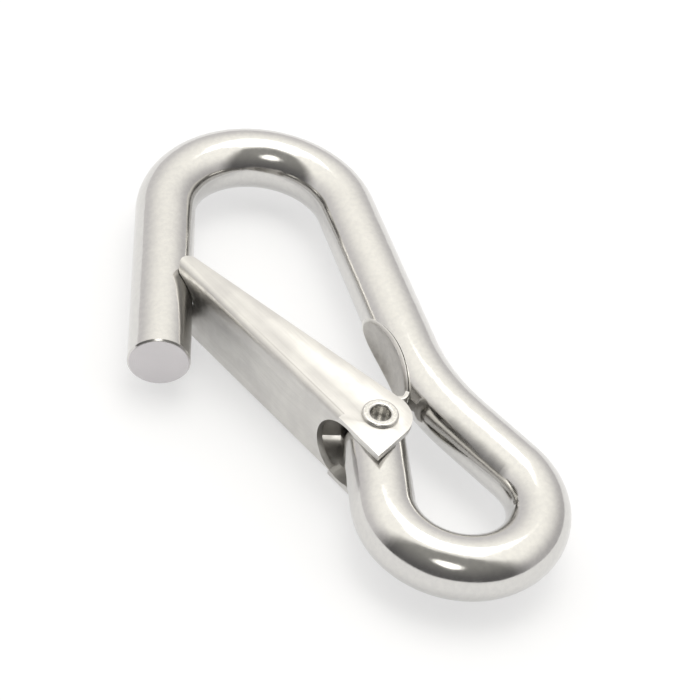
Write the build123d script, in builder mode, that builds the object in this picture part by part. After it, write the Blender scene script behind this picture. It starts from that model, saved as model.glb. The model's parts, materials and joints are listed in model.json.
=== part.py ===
from build123d import *

import os
from math import cos, radians, sin, tan

# Boat snap hook: one bent round bar, with a folded sheet gate sprung shut across its mouth.
# Millimetres. The bar's centreline lies in the XY plane. The origin is the centre of the eye,
# +Y runs from the eye to the bowl of the hook, and +Z is square to the flat of the hook.

# Bar
bar_d = 8.0
bar_r = bar_d / 2
eye_r = 9.6  # centreline radius of the eye
bowl_r = 12.4  # centreline radius of the bowl
centres = 54.0  # eye centre to bowl centre
neck_r = 30.8  # centreline radius of the bend between the two runs of the shank
lower_lean = 13.8  # lower run of the shank, to the left going up
upper_lean = 11.4  # upper run of the shank, to the right going up
eye_sweep = 216.7
bowl_sweep = 164.0
tail_to_pivot = 10.0  # end of the eye's arc to the gate's pivot
tail_past_pivot = 4.2
tail_break = 0.5
nose_l = 28.0
nose_break = 0.25

# Gate, folded from sheet
sheet = 0.9
gate_h = 10.4  # over both flanges
web_face = 4.6  # pivot axis to the outer face of the web
gate_lean = 11.8  # to the left going up
gate_tip = 33.6  # pivot to the centre of the rounded tip, along the web
tip_r = 1.2
heel_r = 4.0  # rounded heel of the flanges, about the pivot
heel_corner = 5.0  # pivot back to the pointed corner of the heel
fold_r = 1.1
web_start = 2.5  # pivot to the square end of the web
arch_depth = 3.0  # how far the arch runs into that end
nose_gap = 0.08  # from the web's saddle to the nose, shut

# Semi-tubular rivet through both flanges
rivet_r = 1.8
rivet_bore_r = 1.25
rivet_bore_depth = 1.7
rivet_head_r = 2.3
rivet_head_h = 0.45
rivet_run = 0.06  # radial clearance in the bar

# Leaf spring, one strip: a leg along the web, a foot over the bar's tail, a tongue on the shank
leaf_t = 0.5
leaf_w = 6.9
leaf_gap = 0.08  # from the leaf to each thing that it bears on
leg_end = 22.0  # pivot to the free end of the leg, along the web
leg_corner_r = 1.5
knee_r = 2.4
foot_r = 0.9
foot_side = 3.9  # bar's axis to the corner of the foot
neck_w = 2.0  # of the strip where it runs into the tongue
neck_sweep = 12.0
tongue_heading = 45.0
tongue_rise = 1.2  # straight length between the foot's corner and the tongue's arc
tongue_r = 13.0
tongue_sweep = 76.0
trough_r = 6.0  # across the tongue
rim_proud = 0.3  # of the tongue's rim, above the round of the shank


def at(angle, length=1.0):
    """Vector of a length, at an angle in the XY plane from +X."""
    return Vector(length * cos(radians(angle)), length * sin(radians(angle)))


# Feet of the tangents from the shank to the eye and the bowl, and where its two runs would cross
eye_foot = at(lower_lean, eye_r)
bowl_foot = Vector(0, centres) + at(-upper_lean, bowl_r)
neck_turn = lower_lean + upper_lean
upper_run = (bowl_foot - eye_foot).dot(at(lower_lean)) / sin(radians(neck_turn))
shank_corner = bowl_foot + at(-90 - upper_lean, upper_run)

tail_start_angle = lower_lean - eye_sweep
tail_heading = tail_start_angle - 90
pivot = at(tail_start_angle, eye_r) + at(tail_heading, tail_to_pivot)
nose_heading = bowl_sweep - upper_lean + 90
nose_start = Vector(0, centres) + at(bowl_sweep - upper_lean, bowl_r)
nose_end = nose_start + at(nose_heading, nose_l)

# In the gate's plane, X runs from the pivot to the tip and Y out through the web
gate_plane = Plane(origin=pivot, x_dir=at(90 + gate_lean), z_dir=(0, 0, 1))
tail_plane = Plane(origin=pivot, x_dir=at(tail_heading), z_dir=(0, 0, 1))
gate_inner_h = gate_h - 2 * sheet
web_inside = web_face - sheet

# Centreline of the leaf: leg_top - knee - foot - tongue_start, then the bottom of the tongue's trough
leaf_offset = leaf_gap + leaf_t / 2
foot_x = tail_past_pivot + leaf_offset
leg_top = gate_plane.from_local_coords(Vector(leg_end, web_inside - leaf_offset))
leg_low = gate_plane.from_local_coords(Vector(0, web_inside - leaf_offset))
foot = tail_plane.from_local_coords(Vector(foot_x, -foot_side))
leg_dir = leg_low - leg_top
knee_angle = radians(tail_heading + 90 - (90 + gate_lean))
knee_drop = (leg_top - foot).dot(at(tail_heading)) / sin(knee_angle)
knee = leg_top + leg_dir.normalized() * knee_drop
tongue_start = foot + at(tongue_heading, tongue_rise)
tongue_centre = tongue_start + at(tongue_heading + 90, tongue_r)
trough_start = tongue_centre + at(tongue_heading - 90, tongue_r - trough_r)
trough_plane = Plane(origin=trough_start, z_dir=at(tongue_heading))

# Bent bar
with BuildPart() as hook_body:
    with BuildLine() as centreline:
        CenterArc((0, 0), eye_r, lower_lean, -eye_sweep)
        tail = PolarLine(at(tail_start_angle, eye_r), tail_to_pivot + tail_past_pivot, tail_heading)
        FilletPolyline(eye_foot, shank_corner, bowl_foot, radius=neck_r)
        CenterArc((0, centres), bowl_r, -upper_lean, bowl_sweep)
        Line(nose_start, nose_end)
    with BuildSketch(Plane(origin=nose_end, z_dir=at(nose_heading))):
        Circle(bar_r)
    sweep(path=centreline.wires()[0])
    nose_face = hook_body.faces().sort_by_distance(nose_end)[0]
    tail_face = hook_body.faces().sort_by_distance(tail @ 1)[0]
    chamfer(nose_face.edges(), nose_break)
    chamfer(tail_face.edges(), tail_break)
    # Cross hole for the rivet
    with Locations(pivot + Vector(0, 0, bar_r)):
        Hole(rivet_r + rivet_run)
    # Scooped seat in the outside of the neck bend, for the leaf's tongue
    with BuildLine() as scoop_line:
        CenterArc(tongue_centre, tongue_r - trough_r, tongue_heading - 90, tongue_sweep)
    with BuildSketch(trough_plane):
        Circle(trough_r + leaf_offset)
    sweep(path=scoop_line.wires()[0], mode=Mode.SUBTRACT)

# Gate
across_gate = Plane(
    origin=gate_plane.from_local_coords(Vector(web_start, 0)),
    x_dir=gate_plane.y_dir,
    z_dir=gate_plane.x_dir,
)
web_plane = Plane(
    origin=gate_plane.from_local_coords(Vector(0, web_face)),
    x_dir=gate_plane.x_dir,
    z_dir=gate_plane.y_dir,
)
arch_r = ((gate_inner_h / 2) ** 2 + arch_depth**2) / (2 * arch_depth)
with BuildPart() as gate:
    # Channel, open toward the shank
    with BuildSketch(across_gate) as channel:
        with Locations((web_face, 0)):
            Rectangle(2 * gate_h, gate_h, align=(Align.MAX, Align.CENTER))
        fillet(channel.vertices().group_by(Axis.X)[-1], fold_r)
        with Locations((web_inside, 0)):
            Rectangle(3 * gate_h, gate_inner_h, align=(Align.MAX, Align.CENTER), mode=Mode.SUBTRACT)
    extrude(amount=gate_tip + tip_r)
    # Flat cheeks of the two flanges, from the web's square end back past the pivot
    with BuildSketch(gate_plane.offset(gate_inner_h / 2), gate_plane.offset(-gate_h / 2)):
        with Locations((web_start, web_face)):
            Rectangle(2 * gate_h, 2 * gate_h, align=(Align.MAX, Align.MAX))
    extrude(amount=sheet)
    # Outline: pointed corner, rounded heel, free edge and rounded tip
    with BuildSketch(gate_plane.offset(-gate_h / 2)):
        with BuildLine():
            CenterArc((0, 0), heel_r, 0, 360)
            CenterArc((gate_tip, web_face - tip_r), tip_r, 0, 360)
            Line((-heel_corner, web_face), (gate_tip, web_face))
        make_hull()
    extrude(amount=gate_h, mode=Mode.INTERSECT)
    # Arch in the web's lower end
    with BuildSketch(web_plane):
        with Locations((web_start + arch_depth - arch_r, 0)):
            Circle(arch_r)
    extrude(amount=-2 * sheet, mode=Mode.SUBTRACT)
    # Saddle that shuts on the nose
    with BuildSketch(Plane(origin=nose_end, z_dir=at(nose_heading + 180))):
        Circle(bar_r + nose_gap)
    extrude(amount=nose_l, mode=Mode.SUBTRACT)
    with Locations(pivot + Vector(0, 0, gate_h / 2)):
        Hole(rivet_r)

# Rivet, with a plain low head below and its hollow end rolled over above
with BuildPart() as pivot_rivet:
    with BuildSketch(Plane(origin=pivot, x_dir=(1, 0, 0), z_dir=(0, -1, 0))) as half:
        with Locations((0, 0)):
            Rectangle(rivet_r, gate_h, align=(Align.MIN, Align.CENTER))
        for side in (1, -1):
            with Locations((0, side * (gate_h + rivet_head_h) / 2)):
                Rectangle(rivet_head_r, rivet_head_h, align=(Align.MIN, Align.CENTER))
        with Locations((0, gate_h / 2 + rivet_head_h)):
            Rectangle(rivet_bore_r, rivet_bore_depth, align=(Align.MIN, Align.MAX), mode=Mode.SUBTRACT)
        rims = half.vertices().group_by(Axis.Y)
        fillet(rims[0].sort_by(Axis.X)[-1:] + rims[-1], 0.7 * rivet_head_h)
    revolve(axis=Axis(pivot, (0, 0, 1)))

# Leaf spring
with BuildPart() as leaf_spring:
    # Tongue: a trough, cut off just proud of the round of the shank
    with BuildLine() as shank_line:
        FilletPolyline(eye_foot, shank_corner, bowl_foot, radius=neck_r)
    with BuildSketch(Plane(origin=eye_foot, z_dir=shank_corner - eye_foot)):
        Circle(bar_r + rim_proud)
    sweep(path=shank_line.wires()[0])
    with BuildSketch(trough_plane):
        Circle(trough_r + leaf_t / 2)
        Circle(trough_r - leaf_t / 2, mode=Mode.SUBTRACT)
    sweep(path=scoop_line.wires()[0], mode=Mode.INTERSECT)
    # Neck
    with BuildLine() as neck_line:
        CenterArc(tongue_centre, tongue_r, tongue_heading - 90, neck_sweep)
    with BuildSketch(Plane(origin=tongue_start, x_dir=(0, 0, 1), z_dir=at(tongue_heading))):
        Rectangle(neck_w, leaf_t)
    sweep(path=neck_line.wires()[0])
    # Leg, knee and foot
    with BuildLine() as strip:
        FilletPolyline(leg_top, knee, foot, tongue_start, radius=[knee_r, foot_r])
    with BuildSketch(Plane(origin=leg_top, x_dir=(0, 0, 1), z_dir=leg_dir)):
        Rectangle(leaf_w, leaf_t)
    sweep(path=strip.wires()[0])
    leg_face = leaf_spring.faces().sort_by_distance(leg_top)[0]
    fillet(leg_face.edges().filter_by(Axis(leg_top, gate_plane.y_dir)), leg_corner_r)

hook_body.part.label = "hook_body"
gate.part.label = "gate"
pivot_rivet.part.label = "pivot_rivet"
leaf_spring.part.label = "leaf_spring"

os.makedirs("parts", exist_ok=True)
export_step(hook_body.part, "parts/hook_body.step")
export_step(gate.part, "parts/gate.step")
export_step(pivot_rivet.part, "parts/pivot_rivet.step")
export_step(leaf_spring.part, "parts/leaf_spring.step")
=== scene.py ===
import json
import math

import bmesh
import bpy
from mathutils import Matrix, Vector


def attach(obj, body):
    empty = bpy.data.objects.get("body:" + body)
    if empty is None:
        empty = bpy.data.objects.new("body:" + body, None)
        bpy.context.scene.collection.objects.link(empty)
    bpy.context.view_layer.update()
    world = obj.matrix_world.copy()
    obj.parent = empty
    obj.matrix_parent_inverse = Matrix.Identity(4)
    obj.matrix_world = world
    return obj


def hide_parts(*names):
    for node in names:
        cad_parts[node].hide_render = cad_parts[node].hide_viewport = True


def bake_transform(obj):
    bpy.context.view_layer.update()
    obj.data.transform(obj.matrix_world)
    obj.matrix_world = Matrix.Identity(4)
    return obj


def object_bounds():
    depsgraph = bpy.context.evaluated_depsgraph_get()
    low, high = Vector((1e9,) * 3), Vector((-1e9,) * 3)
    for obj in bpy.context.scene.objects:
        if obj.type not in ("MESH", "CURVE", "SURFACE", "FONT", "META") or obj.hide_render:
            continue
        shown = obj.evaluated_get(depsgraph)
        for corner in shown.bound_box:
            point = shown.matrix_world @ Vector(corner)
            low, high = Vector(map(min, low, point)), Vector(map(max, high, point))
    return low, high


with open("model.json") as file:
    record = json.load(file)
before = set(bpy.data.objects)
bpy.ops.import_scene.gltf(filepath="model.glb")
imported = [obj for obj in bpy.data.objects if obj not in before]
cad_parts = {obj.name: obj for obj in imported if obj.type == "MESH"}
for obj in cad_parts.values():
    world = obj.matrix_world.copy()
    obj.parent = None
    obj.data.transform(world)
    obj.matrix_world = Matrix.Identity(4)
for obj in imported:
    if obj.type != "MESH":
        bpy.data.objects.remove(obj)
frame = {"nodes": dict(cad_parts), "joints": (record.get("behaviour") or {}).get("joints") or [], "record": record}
cad_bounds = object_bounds()
low = Vector(cad_bounds[0])
mounts = {mount["name"]: mount for mount in frame["record"]["mounts"]}
MM = 0.001

# Camera: looks down on the hook from its nose's side, as a product picture does
CAM_AZIMUTH = -37.0
CAM_ELEVATION = 44.9
CAM_ROLL = 11.6
CAM_DISTANCE = 313.7 * MM
CAM_LENS = 126.5
CAM_TARGET = Vector((0.0, 27.5, 0.0)) * MM
CAM_SLIDE = Vector((-0.32, 0.42, 0.0)) * MM  # in the picture's own plane, right and up

# Gate and its pivot. Headings are degrees from +X in the XY plane
PIVOT = Vector(frame["joints"][0]["pos_m"])
GATE_HEADING = 101.8

# Bar, in millimetres
BAR_R = 4.0
BOWL_R = 12.4
NOSE_POLAR = 152.6  # where the bowl's arc ends and the nose starts, seen from the bowl's centre
NOSE_L = 28.0

# Rounding of the cut edges, which are sharp in the CAD pieces
GATE_BREAK = 0.13 * MM
LEAF_BREAK = 0.1 * MM
BREAK_ANGLE = math.radians(50)
SMOOTH_ANGLE = math.radians(40)
MERGE_DISTANCE = 0.002 * MM
FLAT_ANGLE = math.radians(1.0)

# Softbox over the back of the hook
KEY_SIZE = (0.5, 0.5)
KEY_POWER = 1.6
KEY_ELEVATION = 72
KEY_DISTANCE = 0.9

# Small lamp in the tent's opening, in radians from the middle of the opening and up from the floor
LAMP_AROUND = -0.02
LAMP_RISE = 0.86
LAMP_HALF_W = 0.32
LAMP_HALF_H = 0.17
LAMP_STRENGTH = 2.4

FLOOR_HALF_W = 6.0
FLOOR_GAP = 0.1 * MM


def heading(angle, length=1.0):
    """Vector of a length, at an angle in the XY plane from +X."""
    return Vector((math.cos(math.radians(angle)), math.sin(math.radians(angle)), 0)) * length


# ---- Camera, light and floor


def aim(azimuth, elevation, roll):
    """Rotation of a camera that looks along +Y at azimuth 0, down by the elevation."""
    turn = Matrix.Rotation(math.radians(azimuth), 4, "Z")
    tip = Matrix.Rotation(math.radians(90 - elevation), 4, "X")
    lean = Matrix.Rotation(math.radians(roll), 4, "Z")
    return turn @ tip @ lean


def add_camera():
    data = bpy.data.cameras.new("camera")
    data.lens = CAM_LENS
    data.clip_start = 0.01
    camera = bpy.data.objects.new("camera", data)
    bpy.context.collection.objects.link(camera)
    turn = aim(CAM_AZIMUTH, CAM_ELEVATION, CAM_ROLL)
    slide = CAM_SLIDE + Vector((0, 0, CAM_DISTANCE))
    camera.matrix_world = Matrix.Translation(CAM_TARGET + turn @ slide) @ turn
    bpy.context.scene.camera = camera


class Nodes:
    """Adds nodes to one tree, and feeds each input a value or another node's output."""

    def __init__(self, tree):
        self.tree = tree

    def feed(self, socket, value):
        if isinstance(value, bpy.types.NodeSocket):
            self.tree.links.new(value, socket)
        else:
            socket.default_value = value

    def add(self, kind, inputs, **settings):
        node = self.tree.nodes.new("ShaderNode" + kind)
        for key, value in settings.items():
            setattr(node, key, value)
        for key, value in inputs.items():
            self.feed(node.inputs[key], value)
        return node

    def math(self, operation, *values):
        return self.add("Math", dict(enumerate(values)), operation=operation).outputs[0]

    def vector(self, operation, *values, output="Vector"):
        return self.add("VectorMath", dict(enumerate(values)), operation=operation).outputs[output]

    def ramp(self, value, low_end, high_end, low_value=0.0, high_value=1.0, smooth=True):
        """Goes from low_value to high_value as value goes from low_end to high_end."""
        inputs = {"Value": value, "From Min": low_end, "From Max": high_end}
        inputs.update({"To Min": low_value, "To Max": high_value})
        kind = "SMOOTHSTEP" if smooth else "LINEAR"
        return self.add("MapRange", inputs, interpolation_type=kind).outputs["Result"]

    def mix(self, factor, first, second):
        """Mixes two colours."""
        node = self.tree.nodes.new("ShaderNodeMix")
        node.data_type = "RGBA"
        self.feed(node.inputs["Factor"], factor)
        self.feed(node.inputs[6], first)
        self.feed(node.inputs[7], second)
        return node.outputs[2]

    def noise(self, vector, scale, detail=2.0, roughness=0.5):
        inputs = {"Vector": vector, "Scale": scale, "Detail": detail, "Roughness": roughness}
        return self.add("TexNoise", inputs).outputs["Fac"]

    def bump(self, height, distance, normal=None):
        """Bump of a distance in millimetres."""
        inputs = {"Height": height, "Distance": distance * MM, "Strength": 1.0}
        if normal is not None:
            inputs["Normal"] = normal
        return self.add("Bump", inputs).outputs["Normal"]


def add_world():
    """A white tent, warm overhead, with the dark gap that the camera looks in through."""
    world = bpy.data.worlds.new("studio")
    bpy.context.scene.world = world
    world.use_nodes = True
    tree = world.node_tree
    nodes = Nodes(tree)
    toward = nodes.add("TexCoord", {}).outputs["Generated"]
    height = nodes.add("SeparateXYZ", {"Vector": toward}).outputs["Z"]
    front = aim(CAM_AZIMUTH, 0, 0) @ Vector((0, 0, 1))
    side = aim(CAM_AZIMUTH, 0, 0) @ Vector((1, 0, 0))
    ahead = nodes.vector("DOT_PRODUCT", toward, front, output="Value")
    across = nodes.vector("DOT_PRODUCT", toward, side, output="Value")
    around = nodes.math("ARCTAN2", across, ahead)
    rise = nodes.math("ARCSINE", height)

    # Tent: brightest overhead, dimmer toward the floor, and dimmer again on the right
    tent = nodes.ramp(rise, 0.1, 1.0, 0.80, 1.38)
    dim_side = nodes.math("MULTIPLY", nodes.ramp(across, 0.1, 0.9), nodes.ramp(rise, 0.9, 0.1))
    tent = nodes.math("MULTIPLY", tent, nodes.ramp(dim_side, 0.0, 1.0, 1.0, 0.72, smooth=False))
    # Open front of the tent, where the room is dark up to overhead
    in_width = nodes.ramp(nodes.math("ABSOLUTE", around), 1.45, 0.95)
    opening = nodes.math("MULTIPLY", nodes.ramp(ahead, -0.02, 0.16), in_width)
    room = nodes.ramp(rise, 0.0, 1.2, 0.12, 0.36)
    shut = nodes.math("SUBTRACT", 1.0, opening)
    level = nodes.math("ADD", nodes.math("MULTIPLY", tent, shut), nodes.math("MULTIPLY", room, opening))
    lamp_across = nodes.math("DIVIDE", nodes.math("SUBTRACT", around, LAMP_AROUND), LAMP_HALF_W)
    lamp_rise = nodes.math("DIVIDE", nodes.math("SUBTRACT", rise, LAMP_RISE), LAMP_HALF_H)
    lamp_far = nodes.math("ADD", nodes.math("POWER", lamp_across, 2.0), nodes.math("POWER", lamp_rise, 2.0))
    level = nodes.math("ADD", level, nodes.ramp(lamp_far, 0.2, 1.4, LAMP_STRENGTH, 0.0))

    warmth = nodes.mix(nodes.ramp(rise, 0.0, 0.9), (1.0, 0.975, 0.975, 1), (1.0, 0.982, 0.925, 1))
    seen = tree.nodes["Background"]
    nodes.feed(seen.inputs["Color"], warmth)
    nodes.feed(seen.inputs["Strength"], level)
    plain_back = nodes.add("Background", {"Color": (1, 1, 1, 1), "Strength": 1.0})
    is_camera = nodes.add("LightPath", {}).outputs["Is Camera Ray"]
    inputs = {0: is_camera, 1: seen.outputs[0], 2: plain_back.outputs[0]}
    choice = nodes.add("MixShader", inputs)
    nodes.feed(tree.nodes["World Output"].inputs["Surface"], choice.outputs[0])


def add_softbox(name, size, power, azimuth, elevation, distance):
    data = bpy.data.lights.new(name, "AREA")
    data.shape = "RECTANGLE"
    data.size, data.size_y = size
    data.energy = power
    data.color = (1.0, 0.985, 0.95)
    light = bpy.data.objects.new(name, data)
    bpy.context.collection.objects.link(light)
    turn = aim(azimuth, elevation, 0)
    light.matrix_world = Matrix.Translation(CAM_TARGET + turn @ Vector((0, 0, distance))) @ turn


def add_floor():
    height = low.z - FLOOR_GAP
    mesh = bpy.data.meshes.new("floor")
    corners = [(-1, -1), (1, -1), (1, 1), (-1, 1)]
    points = [(x * FLOOR_HALF_W, y * FLOOR_HALF_W, height) for x, y in corners]
    mesh.from_pydata(points, [], [(0, 1, 2, 3)])
    floor = bpy.data.objects.new("floor", mesh)
    bpy.context.collection.objects.link(floor)
    material = bpy.data.materials.new("floor_white")
    material.use_nodes = True
    shader = material.node_tree.nodes["Principled BSDF"]
    shader.inputs["Base Color"].default_value = (0.52, 0.523, 0.535, 1)
    shader.inputs["Roughness"].default_value = 0.8
    shader.inputs["Specular IOR Level"].default_value = 0.1
    shader.inputs["Emission Color"].default_value = (1, 1, 1, 1)
    shader.inputs["Emission Strength"].default_value = 0.5
    floor.data.materials.append(material)


# ---- Materials


def start_metal(name):
    """A metal with its nodes, its shader and its own position in millimetres."""
    material = bpy.data.materials.new(name)
    material.use_nodes = True
    nodes = Nodes(material.node_tree)
    shader = material.node_tree.nodes["Principled BSDF"]
    shader.inputs["Metallic"].default_value = 1.0
    place = nodes.add("TexCoord", {}).outputs["Object"]
    place = nodes.vector("MULTIPLY", place, (1 / MM,) * 3)
    return material, nodes, shader, place


def hairlines(nodes, place, turn, fineness, wander=0.0):
    """Fine lines that run along one heading, from 0 between them to 1 on them."""
    rotation = tuple(math.radians(-angle) for angle in turn)
    turned = nodes.add("Mapping", {"Vector": place, "Rotation": rotation}).outputs["Vector"]
    stretched = nodes.vector("MULTIPLY", turned, (0.05 + wander, 1.0, 1.0))
    return nodes.noise(stretched, fineness, detail=3.0, roughness=0.7)


def polished_bar():
    """Tumbled and buffed round bar: clear reflections that wander a little, hairlines, a ground nose."""
    material, nodes, shader, place = start_metal("polished_bar")
    swell = nodes.noise(place, 0.28, detail=1.0)
    mottle = nodes.noise(place, 1.5, detail=3.0, roughness=0.6)
    grit = nodes.noise(place, 5.0, detail=2.0, roughness=0.7)
    buffed = hairlines(nodes, place, (0, 0, 78), 3.0)
    crossed = hairlines(nodes, place, (0, 20, 130), 4.0)
    lines = nodes.ramp(nodes.math("MAXIMUM", buffed, crossed), 0.64, 0.74)

    # Ground end of the nose
    bowl = Vector(mounts["bowl"]["pos_m"])
    nose_dir = heading(NOSE_POLAR + 90)
    nose_end = bowl + (heading(NOSE_POLAR, BOWL_R) + nose_dir * NOSE_L) * MM
    from_end = nodes.vector("SUBTRACT", place, nose_end / MM)
    past_end = nodes.vector("DOT_PRODUCT", from_end, nose_dir, output="Value")
    radius = nodes.vector("LENGTH", from_end, output="Value")
    near_end = nodes.math("LESS_THAN", radius, BAR_R + 0.1)
    ground = nodes.math("MULTIPLY", near_end, nodes.ramp(past_end, -0.12, -0.02))
    rings = nodes.math("SINE", nodes.math("MULTIPLY", radius, 26.0))

    tone = nodes.mix(nodes.ramp(mottle, 0.35, 0.65), (0.635, 0.625, 0.61, 1), (0.665, 0.655, 0.635, 1))
    tone = nodes.mix(nodes.math("MULTIPLY", lines, 0.12), tone, (0.45, 0.44, 0.43, 1))
    tone = nodes.mix(ground, tone, (0.62, 0.60, 0.61, 1))
    nodes.feed(shader.inputs["Base Color"], tone)
    haze = nodes.ramp(nodes.noise(place, 0.6, detail=4.0, roughness=0.65), 0.35, 0.7, 0.11, 0.16)
    haze = nodes.math("ADD", haze, nodes.math("MULTIPLY", lines, 0.04))
    haze = nodes.math("ADD", haze, nodes.math("MULTIPLY", ground, 0.3))
    nodes.feed(shader.inputs["Roughness"], haze)
    normal = nodes.bump(swell, 0.05)
    normal = nodes.bump(mottle, 0.0045, normal)
    normal = nodes.bump(grit, 0.0004, normal)
    normal = nodes.bump(nodes.math("MULTIPLY", lines, -1.0), 0.0005, normal)
    normal = nodes.bump(nodes.math("MULTIPLY", rings, ground), 0.002, normal)
    nodes.feed(shader.inputs["Normal"], normal)
    return material


def satin_sheet():
    """Tumbled sheet: satin, grained along the gate, burnished on its edges, rougher and darkened by painted shade
    in its corners.
    """
    material, nodes, shader, place = start_metal("satin_sheet")
    grain = hairlines(nodes, place, (0, 0, GATE_HEADING), 4.0)
    cross = hairlines(nodes, place, (0, 0, GATE_HEADING + 90), 5.0, wander=0.15)
    peel = nodes.noise(place, 1.2, detail=4.0, roughness=0.6)
    cloud = nodes.noise(place, 0.22, detail=2.0)
    pits = nodes.ramp(nodes.noise(place, 9.0, detail=1.0), 0.72, 0.80)
    corner = nodes.add("AmbientOcclusion", {"Distance": 0.8 * MM}, samples=6).outputs["AO"]
    edge = nodes.add("AmbientOcclusion", {"Distance": 0.35 * MM}, samples=6, inside=True).outputs["AO"]
    # Painted shade: occlusion darkens the colour in the corners and creases; it also makes them rougher
    corner_shade = nodes.ramp(corner, 0.75, 0.25)
    worn = nodes.ramp(edge, 0.75, 0.45)

    tone = nodes.mix(nodes.ramp(cloud, 0.35, 0.65), (0.625, 0.612, 0.592, 1), (0.69, 0.678, 0.65, 1))
    tone = nodes.mix(nodes.ramp(grain, 0.45, 0.75, 0.0, 0.35), tone, (0.52, 0.51, 0.495, 1))
    tone = nodes.mix(nodes.math("MULTIPLY", pits, 0.15), tone, (0.40, 0.39, 0.37, 1))
    tone = nodes.mix(nodes.math("MULTIPLY", worn, 0.5), tone, (0.78, 0.77, 0.745, 1))
    tone = nodes.mix(nodes.math("MULTIPLY", corner_shade, 0.12), tone, (0.30, 0.285, 0.265, 1))
    nodes.feed(shader.inputs["Base Color"], tone)
    haze = nodes.ramp(peel, 0.3, 0.7, 0.36, 0.46)
    haze = nodes.math("SUBTRACT", haze, nodes.math("MULTIPLY", worn, 0.08))
    haze = nodes.math("ADD", haze, nodes.math("MULTIPLY", corner_shade, 0.12))
    nodes.feed(shader.inputs["Roughness"], haze)
    normal = nodes.bump(cloud, 0.05)
    normal = nodes.bump(peel, 0.006, normal)
    normal = nodes.bump(grain, 0.0025, normal)
    normal = nodes.bump(cross, 0.0015, normal)
    normal = nodes.bump(nodes.math("MULTIPLY", pits, -1.0), 0.0015, normal)
    nodes.feed(shader.inputs["Normal"], normal)
    return material


def rivet_steel():
    """Rolled rivet: ringed by its tool around the pivot, darkened by painted shade down its bore and where its
    head meets the gate.
    """
    material, nodes, shader, place = start_metal("rivet_steel")
    from_axis = nodes.vector("SUBTRACT", place, PIVOT / MM)
    flat = nodes.vector("MULTIPLY", from_axis, (1.0, 1.0, 0.0))
    radius = nodes.vector("LENGTH", flat, output="Value")
    rings = nodes.math("SINE", nodes.math("MULTIPLY", radius, 40.0))
    peel = nodes.noise(place, 3.0, detail=3.0, roughness=0.6)
    corner = nodes.add("AmbientOcclusion", {"Distance": 1.0 * MM}, samples=6).outputs["AO"]
    # Painted shade: occlusion darkens the colour down the bore and under the head; it also makes them rougher
    corner_shade = nodes.ramp(corner, 0.7, 0.2)
    tone = nodes.mix(nodes.ramp(peel, 0.35, 0.65), (0.60, 0.588, 0.565, 1), (0.68, 0.668, 0.64, 1))
    tone = nodes.mix(nodes.math("MULTIPLY", corner_shade, 0.7), tone, (0.20, 0.188, 0.172, 1))
    nodes.feed(shader.inputs["Base Color"], tone)
    haze = nodes.ramp(peel, 0.3, 0.7, 0.18, 0.28)
    nodes.feed(shader.inputs["Roughness"], nodes.math("ADD", haze, nodes.math("MULTIPLY", corner_shade, 0.15)))
    normal = nodes.bump(peel, 0.008)
    normal = nodes.bump(rings, 0.0015, normal)
    nodes.feed(shader.inputs["Normal"], normal)
    return material


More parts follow.
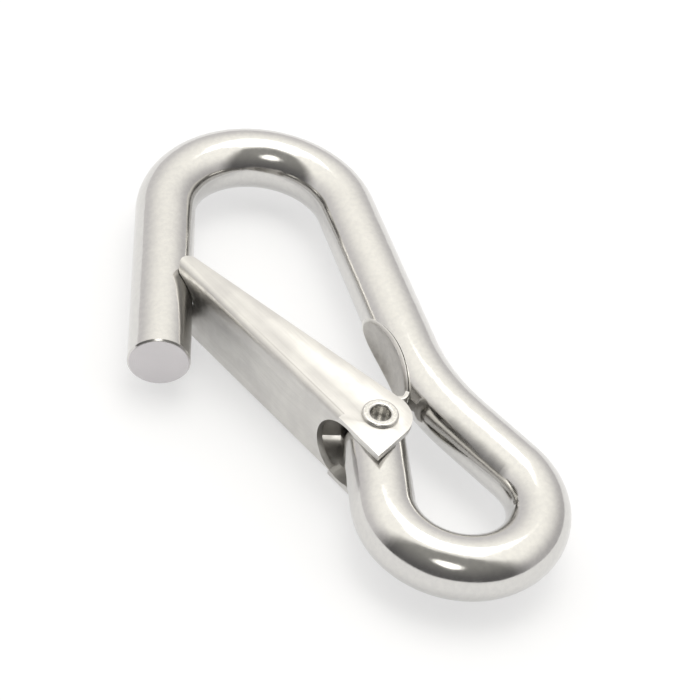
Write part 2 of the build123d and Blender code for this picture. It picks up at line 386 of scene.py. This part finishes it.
def spring_steel():
    """Dull rolled strip: grained along its length, burnished on its edges, darkened by painted shade in its
    corners.
    """
    material, nodes, shader, place = start_metal("spring_steel")
    grain = hairlines(nodes, place, (0, 0, 80), 6.0)
    peel = nodes.noise(place, 0.9, detail=3.0, roughness=0.6)
    corner = nodes.add("AmbientOcclusion", {"Distance": 3.0 * MM}, samples=6).outputs["AO"]
    edge = nodes.add("AmbientOcclusion", {"Distance": 0.4 * MM}, samples=6, inside=True).outputs["AO"]
    # Painted shade: occlusion darkens the colour where the strip is hemmed in and where it lies against the bar
    corner_shade = nodes.ramp(corner, 0.8, 0.3)
    worn = nodes.ramp(edge, 0.8, 0.5)
    tone = nodes.mix(nodes.ramp(peel, 0.35, 0.65), (0.47, 0.455, 0.435, 1), (0.56, 0.545, 0.52, 1))
    tone = nodes.mix(nodes.ramp(grain, 0.5, 0.75, 0.0, 0.35), tone, (0.36, 0.35, 0.335, 1))
    tone = nodes.mix(nodes.math("MULTIPLY", corner_shade, 0.25), tone, (0.16, 0.15, 0.14, 1))
    tone = nodes.mix(worn, tone, (0.80, 0.79, 0.765, 1))
    nodes.feed(shader.inputs["Base Color"], tone)
    nodes.feed(shader.inputs["Roughness"], nodes.ramp(peel, 0.3, 0.7, 0.34, 0.46))
    normal = nodes.bump(peel, 0.010)
    normal = nodes.bump(grain, 0.0015, normal)
    nodes.feed(shader.inputs["Normal"], normal)
    return material


# ---- Pieces


def apply_modifiers(piece):
    shape = bpy.data.meshes.new_from_object(piece.evaluated_get(bpy.context.evaluated_depsgraph_get()))
    piece.modifiers.clear()
    piece.data = shape


def add_broken(node, name, material, width):
    """A copy of a CAD piece with its sharp edges broken, in the CAD piece's place."""
    mesh = frame["nodes"][node].data.copy()
    mesh.name = name
    form = bmesh.new()
    form.from_mesh(mesh)
    bmesh.ops.remove_doubles(form, verts=form.verts, dist=MERGE_DISTANCE)
    bmesh.ops.dissolve_limit(form, angle_limit=FLAT_ANGLE, verts=form.verts, edges=form.edges)
    form.to_mesh(mesh)
    form.free()
    mesh.materials.clear()
    mesh.materials.append(material)
    piece = bpy.data.objects.new(name, mesh)
    bpy.context.collection.objects.link(piece)
    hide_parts(node)
    bevel = piece.modifiers.new("broken_edges", "BEVEL")
    bevel.width = width
    bevel.segments = 3
    bevel.limit_method = "ANGLE"
    bevel.angle_limit = BREAK_ANGLE
    apply_modifiers(piece)
    piece.data.shade_smooth()
    piece.data.set_sharp_from_angle(angle=SMOOTH_ANGLE)
    return piece


def paint(node, material):
    part = frame["nodes"][node]
    part.data.materials.clear()
    part.data.materials.append(material)


bpy.context.scene.view_settings.view_transform = "Standard"
add_camera()
add_world()
add_floor()
add_softbox("key", KEY_SIZE, KEY_POWER, CAM_AZIMUTH + 180, KEY_ELEVATION, KEY_DISTANCE)

paint("hook_body", polished_bar())
paint("pivot_rivet", rivet_steel())
gate = add_broken("gate", "gate_folded", satin_sheet(), GATE_BREAK)
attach(gate, "keeper")
leaf = add_broken("leaf_spring", "leaf_strip", spring_steel(), LEAF_BREAK)
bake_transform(leaf)
